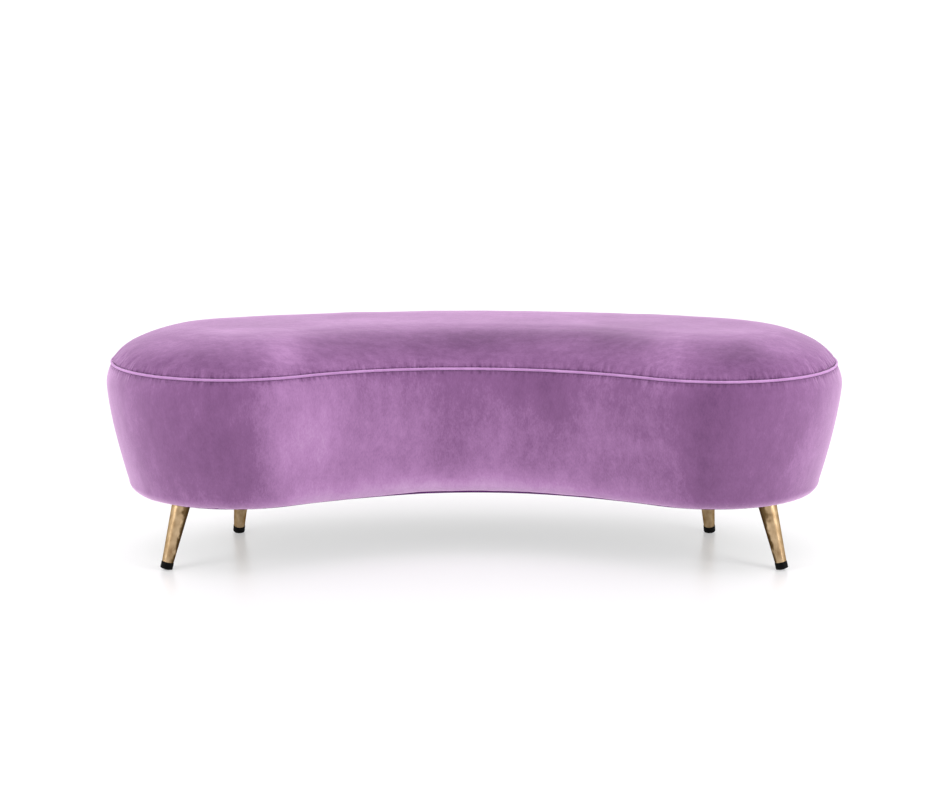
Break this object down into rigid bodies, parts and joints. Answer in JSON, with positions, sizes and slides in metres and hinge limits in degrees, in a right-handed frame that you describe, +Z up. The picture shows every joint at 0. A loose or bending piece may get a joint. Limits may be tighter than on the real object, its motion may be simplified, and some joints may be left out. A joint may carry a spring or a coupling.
{
  "type": "sofa bench",
  "caption": "Low backless sofa bench with a kidney-shaped padded seat, a piped seam, a tapered upholstered side and splayed tapered metal legs.",
  "frame": {"origin": "on the floor, under the middle of the bench's width and depth", "axes": "+X to the bench's right end as seen from the front, +Y to the rounded back, +Z up; the hollow front faces -Y"},
  "size_m": [1.5, 0.635, 0.4675],
  "materials": {
    "velvet": "soft pile velvet, orchid purple",
    "piping_velvet": "soft pile velvet stretched over cord, pale orchid",
    "brass": "satin brushed",
    "rubber": "matte",
    "steel": "zinc plated",
    "beech": "planed, unfinished",
    "plywood": "sanded, unfinished",
    "firm_foam": "open-cell foam, pale blue",
    "soft_foam": "open-cell foam, cream",
    "wadding": "bonded polyester fibre",
    "felt": "needled felt",
    "webbing": "woven jute",
    "cotton": "twisted cotton",
    "dust_cloth": "spun-bonded cloth"
  },
  "bodies": {
    "root": {"leg_front_left": "brass", "leg_front_right": "brass", "leg_rear_left": "brass", "leg_rear_right": "brass", "tip_front_left": "rubber", "tip_front_right": "rubber", "tip_rear_left": "rubber", "tip_rear_right": "rubber", "leg_discs": "steel", "leg_studs": "steel", "tee_nuts": "steel", "block_front_left": "beech", "block_front_right": "beech", "block_rear_left": "beech", "block_rear_right": "beech", "block_screws": "steel", "base_board": "plywood", "post_front_left": "beech", "post_front_center": "beech", "post_front_right": "beech", "post_back_left": "beech", "post_back_center": "beech", "post_back_right": "beech", "post_nose_left": "beech", "post_nose_right": "beech", "post_end_left": "beech", "post_end_right": "beech", "post_tail_left": "beech", "post_tail_right": "beech", "post_screws": "steel", "rail_left": "beech", "rail_center": "beech", "rail_right": "beech", "rail_screws": "steel", "top_frame": "plywood", "side_skin": "plywood", "cross_webbing": "webbing", "long_webbing": "webbing", "webbing_staples": "steel", "felt": "felt", "firm_foam": "firm_foam", "soft_foam": "soft_foam", "wadding": "wadding", "seat_cover": "velvet", "piping": "piping_velvet", "piping_cord": "cotton", "side_foam_front": "soft_foam", "side_foam_back": "soft_foam", "side_foam_left": "soft_foam", "side_foam_right": "soft_foam", "side_band": "velvet", "base_welt": "velvet", "hem_staples": "steel", "dust_cover": "dust_cloth", "dust_staples": "steel"}
  },
  "joints": []
}
